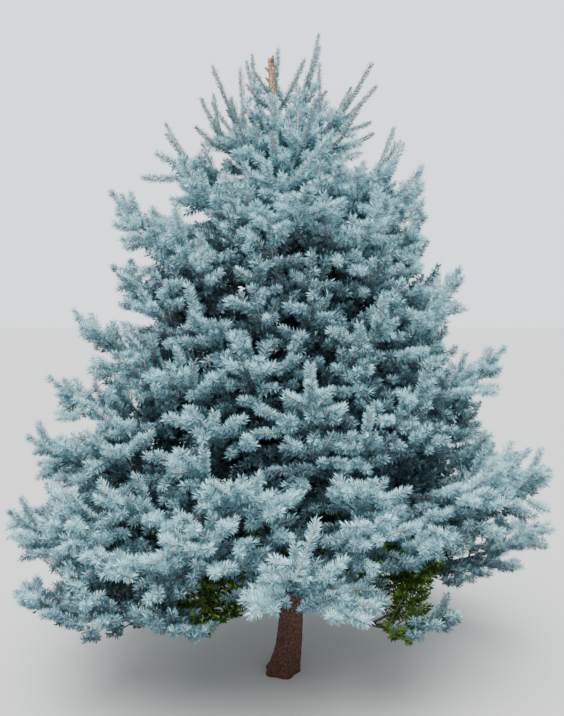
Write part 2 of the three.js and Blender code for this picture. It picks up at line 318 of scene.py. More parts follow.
def lesser_reach(whorl, plan_angle):
    """The share of their neighbours' reach that lesser boughs have."""
    if whorl == "skirt" and OPEN_SKIRT[0] < plan_angle < OPEN_SKIRT[1]:
        return OPEN_REACH
    return 1 if whorl in LOWEST_SLOPE else LESSER_REACH


def lesser_boughs():
    found = []
    names = list(WHORLS)
    for whorl, above in zip(names, names[1:]):
        for plan_angle, lift in product(angles_between(whorl), LESSER_LIFTS.get(whorl, TWO_LIFTS)):
            own, higher = outline_at(whorl, plan_angle), outline_at(above, plan_angle)
            reach, tip_height, height = [between(a, b, lift) for a, b in zip(own, higher)]
            place = (plan_angle, reach * lesser_reach(whorl, plan_angle), tip_height)
            found.append(make_bough(whorl, None, LESSER_SEEDS + len(found), place, height))
    return found


boughs += lesser_boughs()
print("boughs with the lesser ones", len(boughs))

# %% [markdown]
# ## Side twigs
# A twig is a straight line whose tip curves up or down, which costs a few numbers where a curve
# object would cost a mesh. The twigs of the solid model come first, drawn in the same order from the
# same seeds. Every third one stands up and the others lie to the left and right, wide open near the
# trunk and closing towards the tip. A real bough has more of them, so finer ones are drawn from
# seeds of their own.

# %% Where a shoot may end
PROUD = 38  # how far a shoot may pass the solid model's box, without its needles
SHORTEST_TWIG = 20
CUT = 0.85  # by which a twig that ends outside is shortened, again and again
LOWEST = [value / MM - PROUD for value in SOLID_BOX[0]]
HIGHEST = [value / MM + PROUD for value in SOLID_BOX[1]]
STRONG_RANKS = ("long", "erect", "tip")


def hides_trunk(place):
    """Whether a place is in front of the foot of the trunk."""
    plan_angle = math.degrees(math.atan2(place.y, place.x)) % 360
    return TRUNK_IN_VIEW[0] < plan_angle < TRUNK_IN_VIEW[1]


def may_end_at(place, bough, rank):
    """No shoot leaves the box, and only strong ones pass the end of their bough's foliage."""
    if bough.whorl == "skirt" and hides_trunk(place):
        return False
    in_box = all(low < value < high for low, value, high in zip(LOWEST, place, HIGHEST))
    behind_tip = math.hypot(place.x, place.y) < bough.foliage_end * bough.reach
    return in_box and (behind_tip or rank in STRONG_RANKS)


def make_twig(bough, root, heading, length, share, rank, lift=0.0):
    """A twig at a share of its bough, shortened until its tip, curved up by the lift, may end there."""
    heading = heading.normalized()
    heading.z = max(heading.z, bough.lowest_slope)
    heading.normalize()
    while not may_end_at(root + heading * length + UP * lift, bough, rank) and length > SHORTEST_TWIG:
        length *= CUT
    return SimpleNamespace(
        bough=bough, root=root, heading=heading, length=length, share=share, rank=rank, lift=lift
    )


print("shoots end between", [round(value) for value in LOWEST], "and", [round(value) for value in HIGHEST])

# %% The last shoot of a bough
TIP_LENGTH = 190
TIP_SHARE = 0.96  # where the last shoot ends
TIP_LIFT = 0.25  # how far its tip curves up, of its length
FILLED = 0.93  # the last shoot is at least as long as the bough from its last twig to here


def tip_end(bough):
    return 1 if bough.whorl in TWIGS_END else TIP_SHARE


def tip_start(bough):
    return tip_end(bough) - max(TIP_LENGTH / bough.length, FILLED - bough.last)


def last_run(bough):
    """The foot of a bough's last shoot, and the way to its tip before it curves up."""
    foot = bough_point(bough, tip_start(bough))
    return foot, bough_point(bough, tip_end(bough)) - foot


def wood_point(bough, share):
    """A point on a bough's wood, and past its end on its last shoot."""
    start = tip_start(bough)
    if share <= start:
        return bough_point(bough, share)
    along = min(1, (share - start) / (tip_end(bough) - start))
    foot, run = last_run(bough)
    return foot + run * along + UP * TIP_LIFT * run.length * along**2


def tip_twig(bough):
    foot, run = last_run(bough)
    rank = "long" if bough.whorl in TWIGS_END else "tip"
    lift = TIP_LIFT * run.length
    return make_twig(bough, foot, run, run.length, tip_start(bough), rank, lift=lift)


print("last shoot of the first bough", round(tip_twig(boughs[0]).length), "mm")

# %% The twigs of the solid model
TWIG_SEEDS = 100
TWIG_STEP = 72
FEWEST_TWIGS = 4
LAST_TWIG = 0.88  # of the bough
SIDES = (-1, 1, 0)  # right, left and upright
SIDE_ANGLES = (66, 36)  # degrees from the bough, near the trunk and near the tip
ANGLE_VARIES = 7
RISE = 4  # degrees over the bough
RISE_VARIES = 18
SIDE_LENGTH = 120
SIDE_GAIN = 0.4  # of the bough beyond the twig
LENGTH_VARIES = 0.15
ERECT_LENGTH = 150
ERECT_LEAN = 0.55  # towards the bough's tip


def source_twig(bough, share, along, side, draw):
    heading, across, over = bough_axes(bough, share)
    aside = spread(draw)
    rise = math.radians(RISE + RISE_VARIES * spread(draw))
    longer = (1 + LENGTH_VARIES * spread(draw)) * bough.shorter
    root = wood_point(bough, share)
    if side == 0:
        upright = heading * ERECT_LEAN + across * 0.1 * aside + UP
        return make_twig(bough, root, upright, ERECT_LENGTH * longer, share, "erect")
    angle = math.radians(between(*SIDE_ANGLES, along) + ANGLE_VARIES * aside)
    outward = heading * math.cos(angle) * math.cos(rise)
    outward += across * side * math.sin(angle) * math.cos(rise) + over * math.sin(rise)
    length = (SIDE_LENGTH + SIDE_GAIN * (1 - share) * bough.length) * longer
    return make_twig(bough, root, outward, length, share, "side")


def source_twigs(bough):
    draw = seeded(bough.seed + TWIG_SEEDS)
    run = (LAST_TWIG - bough.first) * bough.length
    count = max(FEWEST_TWIGS, round(run / TWIG_STEP) + 1)
    twigs = []
    for index in range(count):
        along = index / (count - 1)
        share = between(bough.first, LAST_TWIG, along)
        twigs.append(source_twig(bough, share, along, SIDES[index % 3], draw))
    return twigs


print("twigs of the first bough", len(source_twigs(boughs[0])))

# %% Finer twigs between them
FINE_STEP = 43
FINE_SEEDS = 500
FINE_LEAD = 0.16  # of a bough, by which they start nearer to the trunk
FINE_ANGLES = (70, 44)
FINE_ANGLE_VARIES = 10
HIGHEST_ROLLS = (45, 22)
FEWEST_FINE = 5
FINE_LENGTH = 115
FINE_SHARE = 0.17  # of a short bough's length, for shorter twigs
FINE_GAIN = 0.36
FINE_LENGTHS_VARY = (0.75, 1.15)
CROWDING = 0.75  # less than 1, so twigs are closer together towards the tip
CURVE = 0.1  # of its length, how far a twig's tip may curve


def slanted(axes, side, angle, roll):
    """A heading at an angle to a stem, rolled about it from straight across, both in degrees."""
    heading, across, over = axes
    angle, roll = math.radians(angle), math.radians(roll)
    outward = across * side * math.cos(roll) + over * math.sin(roll)
    return heading * math.cos(angle) + outward * math.sin(angle)


def fine_twigs(bough):
    """Shorter side twigs by turns left and right, spread over a thick layer that hangs down."""
    draw = seeded(bough.seed + FINE_SEEDS)
    first = bough.first - FINE_LEAD
    count = max(FEWEST_FINE, round((bough.last - first) * bough.length / FINE_STEP))
    shortest = min(FINE_LENGTH, FINE_SHARE * bough.length)
    twigs = []
    for index in range(count):
        along = (index + 0.5 * draw()) / count
        share = between(first, bough.last, along**CROWDING)
        angle = between(*FINE_ANGLES, along) + FINE_ANGLE_VARIES * spread(draw)
        roll = between(bough.lowest_roll, between(*HIGHEST_ROLLS, along), draw())
        outward = slanted(bough_axes(bough, share), 1 if index % 2 else -1, angle, roll)
        length = shortest + FINE_GAIN * (1 - share) * bough.length
        length *= between(*FINE_LENGTHS_VARY, draw())
        length *= bough.shorter
        lift = CURVE * length * spread(draw)
        twigs.append(make_twig(bough, wood_point(bough, share), outward, length, share, "side", lift=lift))
    return twigs


print("finer twigs of the first bough", len(fine_twigs(boughs[0])))

# %% [markdown]
# ## Shoots
# Each twig bears short shoots to the left and right, at about half a right angle, and ends in one.
# They could be copies of a single sprig, but copies look alike from near by. Each is drawn anew, and
# strong ones fan out in pairs beside a bough's tip, as the photograph shows at the end of each bough.

# %% Shoots on a twig
SHOOT_STEP = 59
SHOOT_SEEDS = 1000
SHOOT_RUN = 0.8  # of a twig's length that bears shoots
SHOOT_PLACES = (0.2, 0.94)  # of the twig
SHOOT_ANGLES = (58, 40)
SHOOT_ANGLE_VARIES = 5
SHOOT_LENGTH = 52
SHOOT_GAIN = 0.2
SHOOT_LENGTHS_VARY = (0.85, 1.2)
ROLL_SHARE = 0.6  # how far shoots hang, of how far twigs do
HIGHEST_SHOOT_ROLL = 38
END_LENGTH = 95  # of the shoot that ends each twig


def twig_point(twig, share):
    return twig.root + twig.heading * twig.length * share + UP * twig.lift * share * share


def twig_axes(twig):
    """Along a twig, level across it, and over it. A nearly upright twig takes its bough's side."""
    across = UP.cross(twig.heading)
    across = across.normalized() if across.length > 0.3 else twig.bough.side
    return twig.heading, across, twig.heading.cross(across)


def end_shoot(twig):
    share = 1 - END_LENGTH / twig.length if twig.length > END_LENGTH else 0
    root = twig_point(twig, share)
    tip = twig_point(twig, 1)
    return make_twig(twig.bough, root, tip - root, (tip - root).length, twig.share, "end")


def shoots_on(twig, draw):
    """Short shoots by turns left and right along a twig, and one at its end."""
    count = round(SHOOT_RUN * twig.length / SHOOT_STEP)
    shoots = [end_shoot(twig)]
    for index in range(count):
        along = (index + 0.6 * draw()) / count
        share = between(*SHOOT_PLACES, along)
        angle = between(*SHOOT_ANGLES, along) + SHOOT_ANGLE_VARIES * spread(draw)
        roll = between(ROLL_SHARE * twig.bough.lowest_roll, HIGHEST_SHOOT_ROLL, draw())
        outward = slanted(twig_axes(twig), 1 if index % 2 else -1, angle, roll)
        length = SHOOT_LENGTH + SHOOT_GAIN * (1 - share) * twig.length
        length *= between(*SHOOT_LENGTHS_VARY, draw())
        lift = CURVE * length * draw()
        root = twig_point(twig, share)
        shoots.append(make_twig(twig.bough, root, outward, length, twig.share, "shoot", lift=lift))
    return shoots


print("shoots on the first twig", len(shoots_on(fine_twigs(boughs[0])[0], seeded(1))))

# %% Pairs of shoots beside a tip, and all that a bough bears
PAIR_SEEDS = 1500
PAIR_STEPS = (160, 250)  # before the end of a bough
PAIR_ANGLE = 38
PAIR_ROLL = 26
PAIR_LENGTH = 115
PAIRS_VARY = (8, 14, 15)  # the angle, the roll and the length
LOWEST_FOLIAGE = 370


def beside_tip(bough):
    """Pairs of strong shoots on both sides of a bough's last one, which curve up as it does."""
    draw = seeded(bough.seed + PAIR_SEEDS)
    fan = []
    for step, side in product(PAIR_STEPS if bough.node else PAIR_STEPS[:1], (-1, 1)):
        share = 1 - step / bough.length
        angle = PAIR_ANGLE + PAIRS_VARY[0] * spread(draw)
        roll = PAIR_ROLL + PAIRS_VARY[1] * spread(draw)
        outward = slanted(bough_axes(bough, share), side, angle, roll)
        length = PAIR_LENGTH + PAIRS_VARY[2] * spread(draw)
        lift = TIP_LIFT * length
        fan.append(make_twig(bough, wood_point(bough, share), outward, length, share, "tip", lift=lift))
    return fan


def grow_bough(bough):
    """Every twig and shoot of one bough."""
    draw = seeded(bough.seed + SHOOT_SEEDS)
    twigs = fine_twigs(bough)
    if bough.node:
        twigs = source_twigs(bough) + twigs
    grown = [tip_twig(bough)]
    if bough.whorl not in TWIGS_END:
        grown += beside_tip(bough)
    for twig in twigs:
        if twig.share > bough.last or twig_point(twig, 1).z < LOWEST_FOLIAGE:
            continue
        grown.append(twig)
        if twig.rank == "side":
            grown += shoots_on(twig, draw)
    return grown


print("twigs and shoots of the first bough", len(grow_bough(boughs[0])))

# %% [markdown]
# ## Twigs on the trunk
# Between its whorls a spruce bears small twigs on the trunk itself. They are what hides the trunk
# of a full tree, so they follow it up to below the bare leader. Twigs at random angles would leave
# bare stripes, so each is a golden angle further round than the last.

# %% Trunk twigs
GOLDEN_ANGLE = 2.39996  # radians
TRUNK_STEPS = [(1900, 36), (2150, 14), (TRUNK_HEIGHT, 6)]  # up to a height, and from twig to twig
TRUNK_TWIGS_START = 520
TRUNK_TWIGS_END = 2265
BRANCHED_BELOW = 2240  # above this the trunk bears single shoots
TRUNK_TWIG_SEED = 4000
TRUNK_SHOOT_SEED = 4001
TRUNK_TWIG_RISE = (12, 50)  # degrees, at the ground and at the top
TRUNK_RISE_VARIES = 10
TRUNK_TWIG_LENGTH = 25
TRUNK_TWIG_GAIN = 0.38  # of the crown's reach
TRUNK_LENGTHS_VARY = (0.8, 1.15)
ROOT_PLACE = 0.7  # of the trunk's radius, so that a twig's foot is in the wood
YOUNG_WOOD = 2000  # above this the twigs are as young as those at a bough's tip
YOUNG_SHARE = 0.9
OLD_SHARE = 0.35
WHORL_MARGIN = 60  # below a whorl's height its twigs begin
CROWN_REACH = 1120
CROWN_START = 420
CROWN_HEIGHT = 2300


def crown_reach(height):
    """Roughly how far the crown reaches from the trunk at a height."""
    return CROWN_REACH * (1 - (height - CROWN_START) / CROWN_HEIGHT)


def bough_near(height):
    """The first bough of the whorl at a height of the trunk."""
    whorl = [name for name, (foot, _) in WHORLS.items() if foot < height + WHORL_MARGIN][-1]
    return next(bough for bough in boughs if bough.whorl == whorl)


def trunk_twigs():
    draw = seeded(TRUNK_TWIG_SEED)
    twigs = []
    height = TRUNK_TWIGS_START
    turn = 0.0
    while height < TRUNK_TWIGS_END:
        turn += GOLDEN_ANGLE
        out = Vector((math.cos(turn), math.sin(turn), 0))
        degrees = between(*TRUNK_TWIG_RISE, height / TRUNK_HEIGHT) + TRUNK_RISE_VARIES * spread(draw)
        rise = math.radians(degrees)
        length = TRUNK_TWIG_LENGTH + TRUNK_TWIG_GAIN * crown_reach(height)
        length *= between(*TRUNK_LENGTHS_VARY, draw())
        root = trunk_middle(height) + out * trunk_radius(height) * ROOT_PLACE
        heading = out * math.cos(rise) + UP * math.sin(rise)
        share = YOUNG_SHARE if height > YOUNG_WOOD else OLD_SHARE
        lift = CURVE * length
        twigs.append(make_twig(bough_near(height), root, heading, length, share, "side", lift=lift))
        height += next(step for top, step in TRUNK_STEPS if height < top)
    return twigs


def grow_trunk_twigs():
    draw = seeded(TRUNK_SHOOT_SEED)
    grown = []
    for twig in trunk_twigs():
        if twig.root.z < BRANCHED_BELOW:
            grown += [twig, *shoots_on(twig, draw)]
        else:
            twig.rank = "end"
            grown.append(twig)
    return grown


print("twigs on the trunk", len(trunk_twigs()))

# %% [markdown]
# ## Long shoots
# Near the top of a spruce the youngest shoots stand like candles, long and thin with short needles,
# and a few stand up from the lower boughs too. They are what gives this tree its own outline, so
# each is placed by its foot and its tip, and then grows from the wood that is nearest to its foot.

# %% Shoots listed one by one
LONG_SHOOTS = [
    ((95, -20, 2330), (146, -10, 2582)),
    ((5, -30, 2330), (84, -60, 2516)),
    ((35, -40, 2310), (168, -70, 2396)),
    ((-160, -10, 2235), (-163, -10, 2500)),
    ((-72, -20, 2400), (-100, -30, 2475)),
    ((-50, -20, 2330), (-135, -40, 2430)),
    ((-215, -60, 2228), (-264, -80, 2380)),
    ((170, -20, 2210), (269, -30, 2420)),
    ((204, -60, 2210), (255, -90, 2370)),
    ((215, -80, 2180), (338, -120, 2270)),
    ((235, -20, 2200), (368, -40, 2428)),
    ((385, -30, 2040), (447, -30, 2205)),
    ((6, -120, 2178), (62, -140, 2307)),
    ((-29, -120, 2160), (-98, -150, 2261)),
    ((-188, -120, 2151), (-326, -150, 2246)),
    ((-148, -140, 2140), (-182, -160, 2246)),
    ((-306, -60, 1995), (-452, -60, 2235)),
    ((-440, -40, 2070), (-495, -40, 2167)),
    ((-430, -60, 2030), (-542, -80, 2070)),
    ((200, -140, 2055), (290, -180, 2144)),
    ((4, -250, 1983), (-133, -330, 2073)),
    ((4, -250, 1983), (155, -300, 2160)),
    ((46, -400, 1820), (56, -400, 1941)),
    ((69, -930, 866), (97, -950, 963)),
    ((0, -5, 2380), (-16, -14, 2572)),
    ((-180, -60, 2060), (-235, -80, 2240)),
    ((-235, -40, 2030), (-310, -60, 2200)),
    ((-120, -90, 2110), (-170, -120, 2250)),
    ((120, -90, 2110), (180, -120, 2260)),
    ((-220, -40, 2010), (-410, -60, 2095)),
    ((-200, -60, 2040), (-320, -80, 2140)),
    ((-160, -40, 2180), (-265, -50, 2295)),
    ((-140, -30, 2200), (-210, -60, 2330)),
    ((-90, -120, 2000), (-160, -150, 2110)),
]
print("long shoots placed by hand", len(LONG_SHOOTS))

# %% Grow the long shoots
REPEATED = 20  # of them, turned for the far side
TURNED_BACK = 150  # degrees
LONG_SHOOT_SEED = 4002
LONG_SHOOT_LIFT = 0.2
LONG_SHOOT_SHARE = 0.9  # they are as young as the end of a bough
LONG_ABOVE = 2220  # lower ones are upright shoots with full needles
BASE_SHARE = 0.6  # of a long shoot, where shorter ones leave it
WOOD_HEIGHTS = range(400, TRUNK_HEIGHT, 20)
WOOD_SHARES = [k / 40 for k in range(12, 40)]


def points_of_wood():
    """Points on the middle lines of the trunk and of every bough, each with the bough it counts to."""
    on_trunk = [(bough_near(height), trunk_middle(height)) for height in WOOD_HEIGHTS]
    return on_trunk + [(bough, bough_point(bough, share)) for bough in boughs for share in WOOD_SHARES]


def feet_and_tips():
    pairs = [(Vector(foot), Vector(tip)) for foot, tip in LONG_SHOOTS]
    turn = Matrix.Rotation(math.radians(TURNED_BACK), 3, "Z")
    return pairs + [(turn @ foot, turn @ tip) for foot, tip in pairs[:REPEATED]]


def long_shoots():
    draw = seeded(LONG_SHOOT_SEED)
    wood = points_of_wood()
    found = []
    for foot, tip in feet_and_tips():
        bough, root = min(wood, key=lambda line: (line[1] - foot).length_squared)
        rank = "long" if tip.z > LONG_ABOVE else "erect"
        lift = LONG_SHOOT_LIFT * (tip - root).length
        straight = tip - root - UP * lift
        shoot = make_twig(bough, root, straight, straight.length, LONG_SHOOT_SHARE, rank, lift=lift)
        base = make_twig(bough, root, straight, BASE_SHARE * straight.length, LONG_SHOOT_SHARE, "end")
        found += [shoot, *shoots_on(base, draw)[1:]]
    return found


grown = [twig for bough in boughs for twig in grow_bough(bough)] + grow_trunk_twigs() + long_shoots()
ranks = sorted({twig.rank for twig in grown})
print("grown", len(grown), {rank: sum(twig.rank == rank for twig in grown) for rank in ranks})
print("length in all", round(sum(twig.length for twig in grown) / 1000), "m")

# %% [markdown]
# ## Light
# Needles last where light reaches them. Inside the crown they are few and ragged, and at its surface
# they are dense. The same light picks their tints, which paints the shade in: dark inside the crown
# and silver at its surface. To know which is which, the crown is cut into cells, each with the length
# of shoot that it holds, and from every shoot rays are walked outwards through the cells. What they
# meet on their way takes light from the shoot.

# %% The light that reaches each shoot
CELL = 60
SHADE_PER_MM = 0.0045  # what a millimetre of shoot in a cell takes from a ray
RAY_START = 0.6  # of a shoot
RAY_CELLS = 17  # how far a ray is walked
FROM_ABOVE = 4.0  # the weight of the upright ray
RAY_RINGS = ((12, 0.4), (45, 1.0))  # degrees above level, and the weight of each ray


def ray_headings():
    """The headings that light comes from, each with its weight at its end."""
    headings = [(0, 0, 1, FROM_ABOVE)]
    for (rise, weight), turn in product(RAY_RINGS, range(0, 360, 45)):
        level = math.cos(math.radians(rise))
        x = level * math.cos(math.radians(turn + rise))
        y = level * math.sin(math.radians(turn + rise))
        headings.append((x, y, math.sin(math.radians(rise)), weight))
    return headings


def light_on(twigs):
    middle = np.array([twig_point(twig, RAY_START) for twig in twigs])
    low = middle.min(axis=0) - CELL
    cells = ((middle - low) / CELL).astype(int)
    crown = np.zeros(cells.max(axis=0) + 2)
    np.add.at(crown, tuple(cells.T), [twig.length for twig in twigs])
    light = np.zeros(len(twigs))
    for *heading, weight in ray_headings():
        shade = np.zeros(len(twigs))
        for step in range(1, RAY_CELLS + 1):
            place = ((middle + np.array(heading) * CELL * step - low) / CELL).astype(int)
            inside = np.all((place >= 0) & (place < crown.shape), axis=1)
            shade[inside] += crown[tuple(place[inside].T)] * SHADE_PER_MM
        light += weight * np.exp(-shade)
    return light / sum(weight for *_, weight in ray_headings())


for twig, light in zip(grown, light_on(grown)):
    twig.light = light
lights = np.array([twig.light for twig in grown])
print("light on the shoots", [round(float(np.percentile(lights, k)), 2) for k in (5, 25, 50, 75, 95)])

# %% [markdown]
# ## Needles
# A spruce needle is a stiff spike about 25 mm long that leaves the shoot at a steep slant, all round
# it, and leans forward at the shoot's tip. A million separate objects would be far too slow, so the
# corners of all needles of a whorl are worked out together, as arrays, and make one mesh. Each
# needle is one long pointed face. Some are short, and stay in the shade of the long ones.

# %% Where needles stand on their shoots
PARTINGS = {"tip": 1.1, "erect": 1.0, "long": 1.4, "end": 0.6}  # radians without needles, on the upper side
GOLDEN_SHARE = 0.618  # of a turn, from one needle to the next
UP_ROW = np.array([[0.0, 0.0, 1.0]])
LEVEL_ROW = np.array([[0.03, 0.02, 1.0]])  # not quite upright, for shoots that are


def unit(vectors):
    return vectors / np.linalg.norm(vectors, axis=1, keepdims=True)


def as_arrays(twigs):
    """The roots, headings, lengths and lifts of twigs, with a row for each."""
    root = np.array([twig.root for twig in twigs])
    heading = np.array([twig.heading for twig in twigs])
    reach = np.array([[twig.length] for twig in twigs])
    lift = np.array([[twig.lift] for twig in twigs])
    return root, heading, reach, lift


def round_a_shoot(shoots, own, index, random):
    """For each needle how far it is from its shoot's end, its foot, and the ways on and outwards."""
    root, heading, reach, lift = [rows[own] for rows in as_arrays(shoots)]
    parting = np.array([PARTINGS.get(shoot.rank, 0) for shoot in shoots])[own]
    counts = np.bincount(own)[own]
    share = ((index + random.uniform(0, 1, len(own))) / counts)[:, None]
    stem = root + heading * reach * share + UP_ROW * lift * share**2
    heading = unit(heading + UP_ROW * 2 * lift * share / reach)
    across = unit(np.cross(LEVEL_ROW, heading))
    over = np.cross(heading, across)
    fraction = (index * GOLDEN_SHARE + own * 0.31 + random.uniform(0, 0.12, len(own))) % 1
    turn = math.pi / 2 + parting / 2 + (2 * math.pi - parting) * fraction
    radial = across * np.cos(turn)[:, None] + over * np.sin(turn)[:, None]
    return ((1 - share) * reach)[:, 0], stem, heading, radial


print("roots of the first two shoots", as_arrays(grown[:2])[0].round().tolist())

# %% The corners of the needles
NEEDLE_LENGTH = 26.5
NEEDLE_WIDTH = 3.0
WIDEST = 0.55  # of the way along a needle
SHORT_NEEDLE = 0.6  # of the length of the others
LENGTHS_VARY = (0.92, 1.08)
DOME = 16  # the end of a shoot, over which its needles lean forward more and more
SLANT = 67  # degrees from the shoot
SLANT_VARIES = 7
DOME_LEAN = 60  # degrees
SEEKS_LIGHT = 0.12  # how much needles lift


def needle_corners(shoots, counts, lengths, widths, short, random):
    """The root, the side and the point of every needle on these shoots, and how far it faces up."""
    own = np.repeat(np.arange(len(shoots)), counts)
    index = np.arange(len(own)) - np.repeat(np.cumsum(counts) - counts, counts)
    to_tip, stem, heading, radial = round_a_shoot(shoots, own, index, random)
    domed = np.clip(1 - to_tip / DOME, 0, 1) * random.uniform(0.2, 1, len(own))
    degrees = SLANT + random.uniform(-SLANT_VARIES, SLANT_VARIES, len(own)) - DOME_LEAN * domed
    slant = np.radians(degrees)[:, None]
    along_needle = unit(heading * np.cos(slant) + radial * np.sin(slant) + UP_ROW * SEEKS_LIGHT)
    size = lengths[own] * random.uniform(*LENGTHS_VARY, len(own)) * np.where(short, SHORT_NEEDLE, 1)
    reach = along_needle * size[:, None]
    wide = unit(np.cross(along_needle, radial + UP_ROW * 0.01))
    inward = np.cross(along_needle, wide)
    roll = random.uniform(0, 2 * math.pi, len(own))[:, None]
    side = (wide * np.cos(roll) + inward * np.sin(roll)) * widths[own, None]
    base = stem + radial
    corners = np.stack([base, base + reach * WIDEST + side, base + reach], axis=1).reshape(-1, 3)
    return corners, radial[:, 2]


def joined_mesh(name, corners, faces, slots, materials):
    """One object from arrays, with a material slot for each face."""
    mesh = bpy.data.meshes.new(name)
    mesh.vertices.add(len(corners))
    mesh.vertices.foreach_set("co", (corners * MM).astype(np.float32).ravel())
    mesh.loops.add(faces.size)
    mesh.loops.foreach_set("vertex_index", faces.astype(np.int32).ravel())
    mesh.polygons.add(len(faces))
    mesh.polygons.foreach_set("loop_start", np.arange(0, faces.size, 3, dtype=np.int32))
    for material in materials:
        mesh.materials.append(material)
    mesh.polygons.foreach_set("material_index", slots.astype(np.int32))
    mesh.update(calc_edges=True)
    return placed(name, mesh)


print("needles", NEEDLE_LENGTH, "mm long, and short ones", round(SHORT_NEEDLE * NEEDLE_LENGTH), "mm")

# %% [markdown]
# ## The needles' colours
# New needles carry a waxy silver bloom, which wears off and leaves older ones slate blue, and the old
# needles near the trunk of the lowest whorl are green. The tints also paint the shade in: a shoot that
# gets less light takes a darker tint, down to shaded blue, and moss green on the low whorls where
# hardly any light gets in. A colour that has its place on the tree is dealt out by shoot: each tint is
# a plain material, and a shoot takes one by the light that reaches it, its age, its place on the
# bough and a draw.

# %% Needle tints
TINTS = {
    "silver": (0.65, 0.97, 1.0),
    "pale blue": (0.425, 0.72, 0.8),
    "powder blue": (0.26, 0.465, 0.52),
    "grey blue": (0.175, 0.315, 0.365),
    "slate blue": (0.122, 0.218, 0.255),
    "shaded blue": (0.1, 0.172, 0.2),
    "leaf green": (0.17, 0.34, 0.03),
    "moss green": (0.09, 0.19, 0.02),
    "deep green": (0.03, 0.07, 0.014),
}
WAXY = 0.6  # roughness


def set_inputs(tree, node, values):
    """Gives a node's inputs plain values, or links them to what other nodes put out."""
    for socket, value in values.items():
        if isinstance(value, bpy.types.NodeSocket):
            tree.links.new(value, node.inputs[socket])
        else:
            node.inputs[socket].default_value = value


def new_material(name, shader_values):
    material = bpy.data.materials.new(name)
    material.use_nodes = True
    set_inputs(material.node_tree, material.node_tree.nodes["Principled BSDF"], shader_values)
    return material


def plain_material(name, colour, roughness):
    values = {"Base Color": (*colour, 1), "Roughness": roughness, "Specular IOR Level": 0.25}
    return new_material(name, values)


needle_tints = [plain_material(f"{name} needles", colour, WAXY) for name, colour in TINTS.items()]
print("needle tints", [material.name for material in needle_tints])

# %% Deal out the tints
TINT_NAMES = list(TINTS)
PALE_BLUE = TINT_NAMES.index("pale blue")
LEAF_GREEN = TINT_NAMES.index("leaf green")
MOSS_GREEN = TINT_NAMES.index("moss green")
DIMMEST = (0.47, 0.32, 0.21, 0.12, 0.065)  # the least light for each tint from silver to slate blue
LIGHT_VARIES = 0.25
CROWN_FOOT = 1600
CROWN_GAIN = 1.6  # how much paler the needles are painted towards the top, as painted light
GREEN_WITHIN = 640  # of the trunk, on the lowest whorl
# painted shade: green needles with less light than this take the darker moss green
GREEN_LIGHT = 0.08
OLD_WOOD = 0.7  # of a bough, before which its needles are old
TINT_STEPS = (0.35, 0.35, 0.3)  # the chances of a lighter, the same and a darker tint
LEVEL_NEEDLE = 0.3  # how far a needle may face up or down and still be at the side of its shoot


def tint_of(twig, draw):
    """The place of a shoot's tint in the list, from its light and its place on the tree."""
    # painted shade: a shoot that gets less light takes a darker tint
    light = twig.light * (1 + LIGHT_VARIES * spread(draw))
    # painted light: the tints grow paler towards the top of the crown
    light *= 1 + CROWN_GAIN * max(0, (twig.root.z - CROWN_FOOT) / (TRUNK_HEIGHT - CROWN_FOOT))
    # green near the trunk of the lowest whorl is the old needles' own colour; moss green instead of leaf
    # green where less light gets in is painted shade
    if twig.bough.whorl == "skirt" and twig.root.xy.length < GREEN_WITHIN:
        return LEAF_GREEN if light > GREEN_LIGHT else MOSS_GREEN
    if twig.bough.whorl == "low" and light < GREEN_LIGHT and twig.share < OLD_WOOD:
        return MOSS_GREEN
    if twig.rank == "long":
        return PALE_BLUE
    return sum(light < least for least in DIMMEST)


def tints_of_needles(shoot_tints, short, upwards, random):
    """Needles vary about their shoot's tint; short ones, and those at the sides of a shoot and under it,
    are darker as painted shade.
    """
    # painted shade: short needles two tints darker, needles under the shoot two and at its sides one
    step = random.choice([-1, 0, 1], size=len(shoot_tints), p=TINT_STEPS) + 2 * short
    step = step + np.where(upwards < -LEVEL_NEEDLE, 2, np.where(upwards <= LEVEL_NEEDLE, 1, 0))
    green = shoot_tints >= LEAF_GREEN
    lowest = np.where(green, LEAF_GREEN, 0)
    highest = np.where(green, len(TINTS) - 1, LEAF_GREEN - 1)
    return np.clip(shoot_tints + step, lowest, highest)


tried = np.bincount([tint_of(twig, first_draws) for twig in grown], minlength=len(TINTS))
print("shoots of each tint, roughly", dict(zip(TINT_NAMES, tried.tolist())))

# %% Grow the needles of every whorl
NEEDLES_PER_MM = {"tip": 2.8, "erect": 2.8, "side": 0.12, "shoot": 2.4, "end": 2.5, "long": 2.7}
FEWEST_NEEDLES = 5
MOST_TRIANGLES = 190000
INNER_WIDTH = 8.5  # of the sparser needles in the shade
INNER_SHARE = 0.23  # of the needles of a shoot in full light
SHORT_SHARE = 0.3  # of the needles that stay short
CANDLE_NEEDLES = 0.68  # of the usual length, on long shoots
LEAST_LIGHT = 0.1  # less counts as none
LIGHT_RANGE = 0.28  # from there to full light
SHADE_LENGTH = 0.9  # of the length of needles in full light
USUAL_SHARE = 0.7  # of the needles of a shoot in full light, over a whole whorl


def needle_sizes(shoots):
    """The number, the length and the width of each shoot's needles."""
    density = np.array([NEEDLES_PER_MM[shoot.rank] for shoot in shoots])
    reach = np.array([shoot.length for shoot in shoots])
    light = np.array([shoot.light for shoot in shoots])
    inner = np.array([shoot.rank == "side" for shoot in shoots])
    thin = np.array([CANDLE_NEEDLES if shoot.rank == "long" else 1 for shoot in shoots])
    outer = np.where(inner, 0, np.clip((light - LEAST_LIGHT) / LIGHT_RANGE, 0, 1))
    counts = np.maximum(FEWEST_NEEDLES, (density * reach * between(INNER_SHARE, 1, outer)).astype(int))
    lengths = NEEDLE_LENGTH * between(SHADE_LENGTH, 1, outer) * thin
    return counts, lengths, between(INNER_WIDTH, NEEDLE_WIDTH, outer**0.6)


